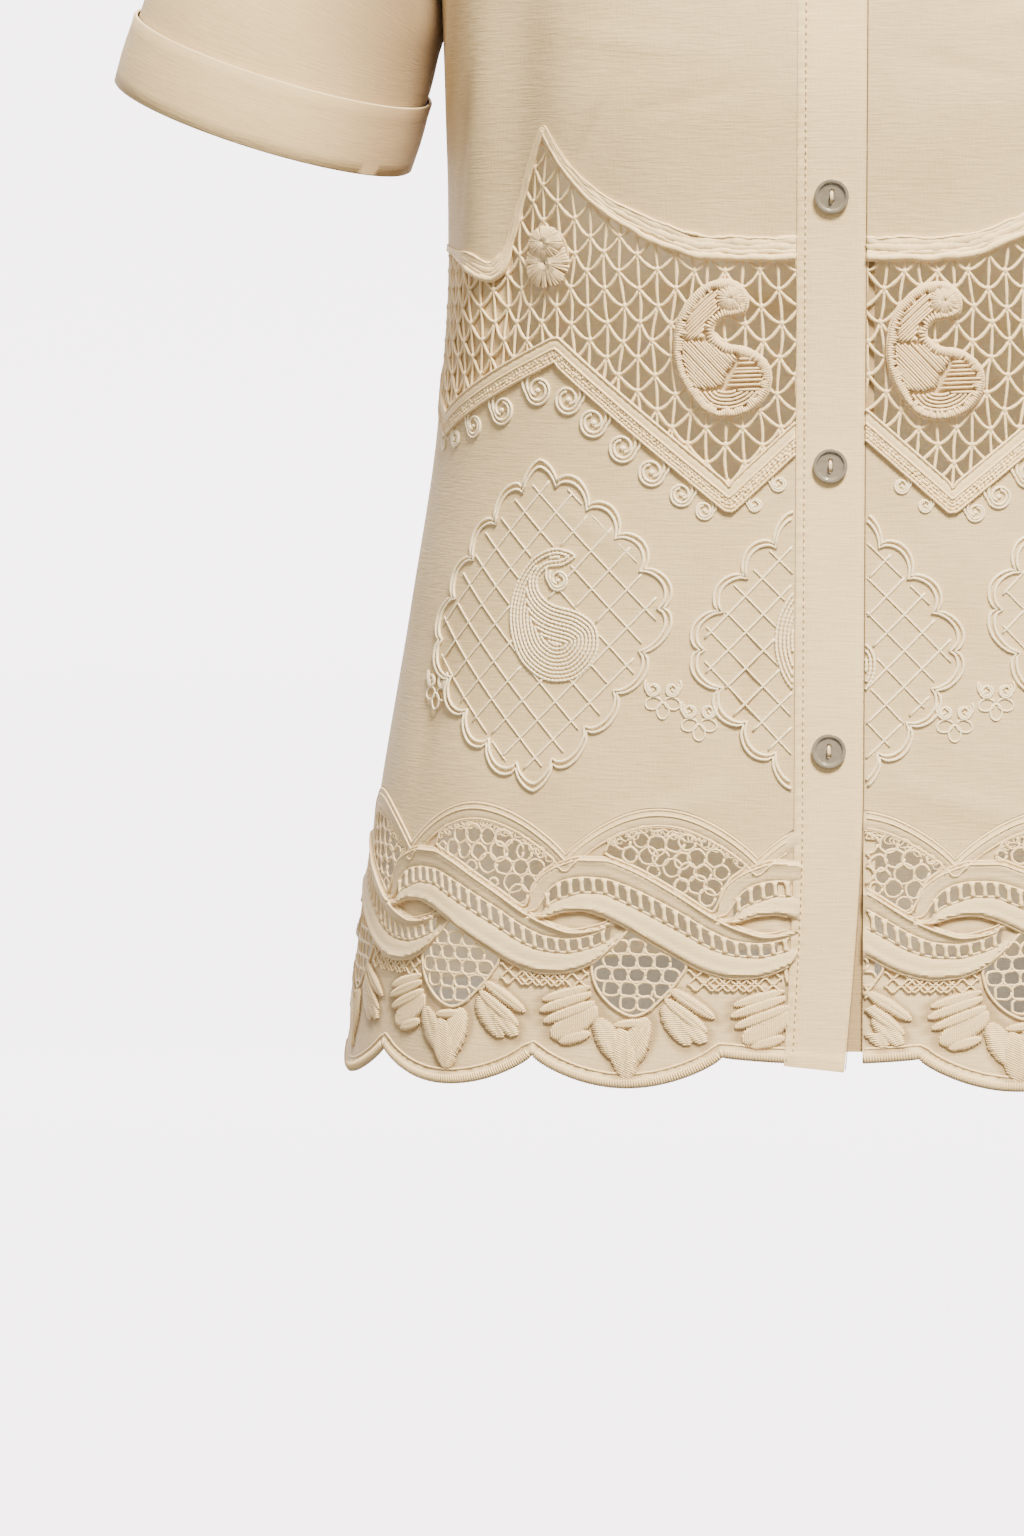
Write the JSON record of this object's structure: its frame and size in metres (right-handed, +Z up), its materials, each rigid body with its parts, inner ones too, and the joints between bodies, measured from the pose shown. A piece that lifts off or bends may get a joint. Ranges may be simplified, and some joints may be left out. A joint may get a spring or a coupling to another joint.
{
  "type": "lace shirt",
  "caption": "Short sleeved cream linen shirt, worn hollow, with lattice lace, chevron bands, paisleys, a scalloped cutwork hem and pearl grey buttons.",
  "frame": {"origin": "midway between the tops of the two shoulders at the neck, where a wearer holds the shirt up", "axes": "+Z up, the front faces -Y, +X to the right of someone looking at the front"},
  "size_m": [0.6428, 0.2785, 0.7493],
  "materials": {
    "linen": "matte",
    "lace": "matte",
    "pearl": "gloss"
  },
  "bodies": {
    "root": {"back": "linen", "front_upper_L": "linen", "front_upper_R": "linen", "lower_panel_L": "linen", "lower_panel_R": "linen", "lattice_L": "lace", "lattice_R": "lace", "hem_lace_L": "lace", "hem_lace_R": "lace", "chevron_band_L": "lace", "chevron_band_R": "lace", "yoke_cord_L": "lace", "yoke_cord_R": "lace", "daisy_L": "lace", "daisy_R": "lace", "paisley_L": "lace", "paisley_R": "lace", "placket": "linen", "under_placket": "linen", "sleeve_L": "linen", "sleeve_R": "linen", "cuff_L": "linen", "cuff_R": "linen", "collar_stand": "linen", "collar_fall": "linen", "button_1": "pearl", "button_2": "pearl", "button_3": "pearl", "button_4": "pearl", "button_5": "pearl"}
  },
  "joints": []
}
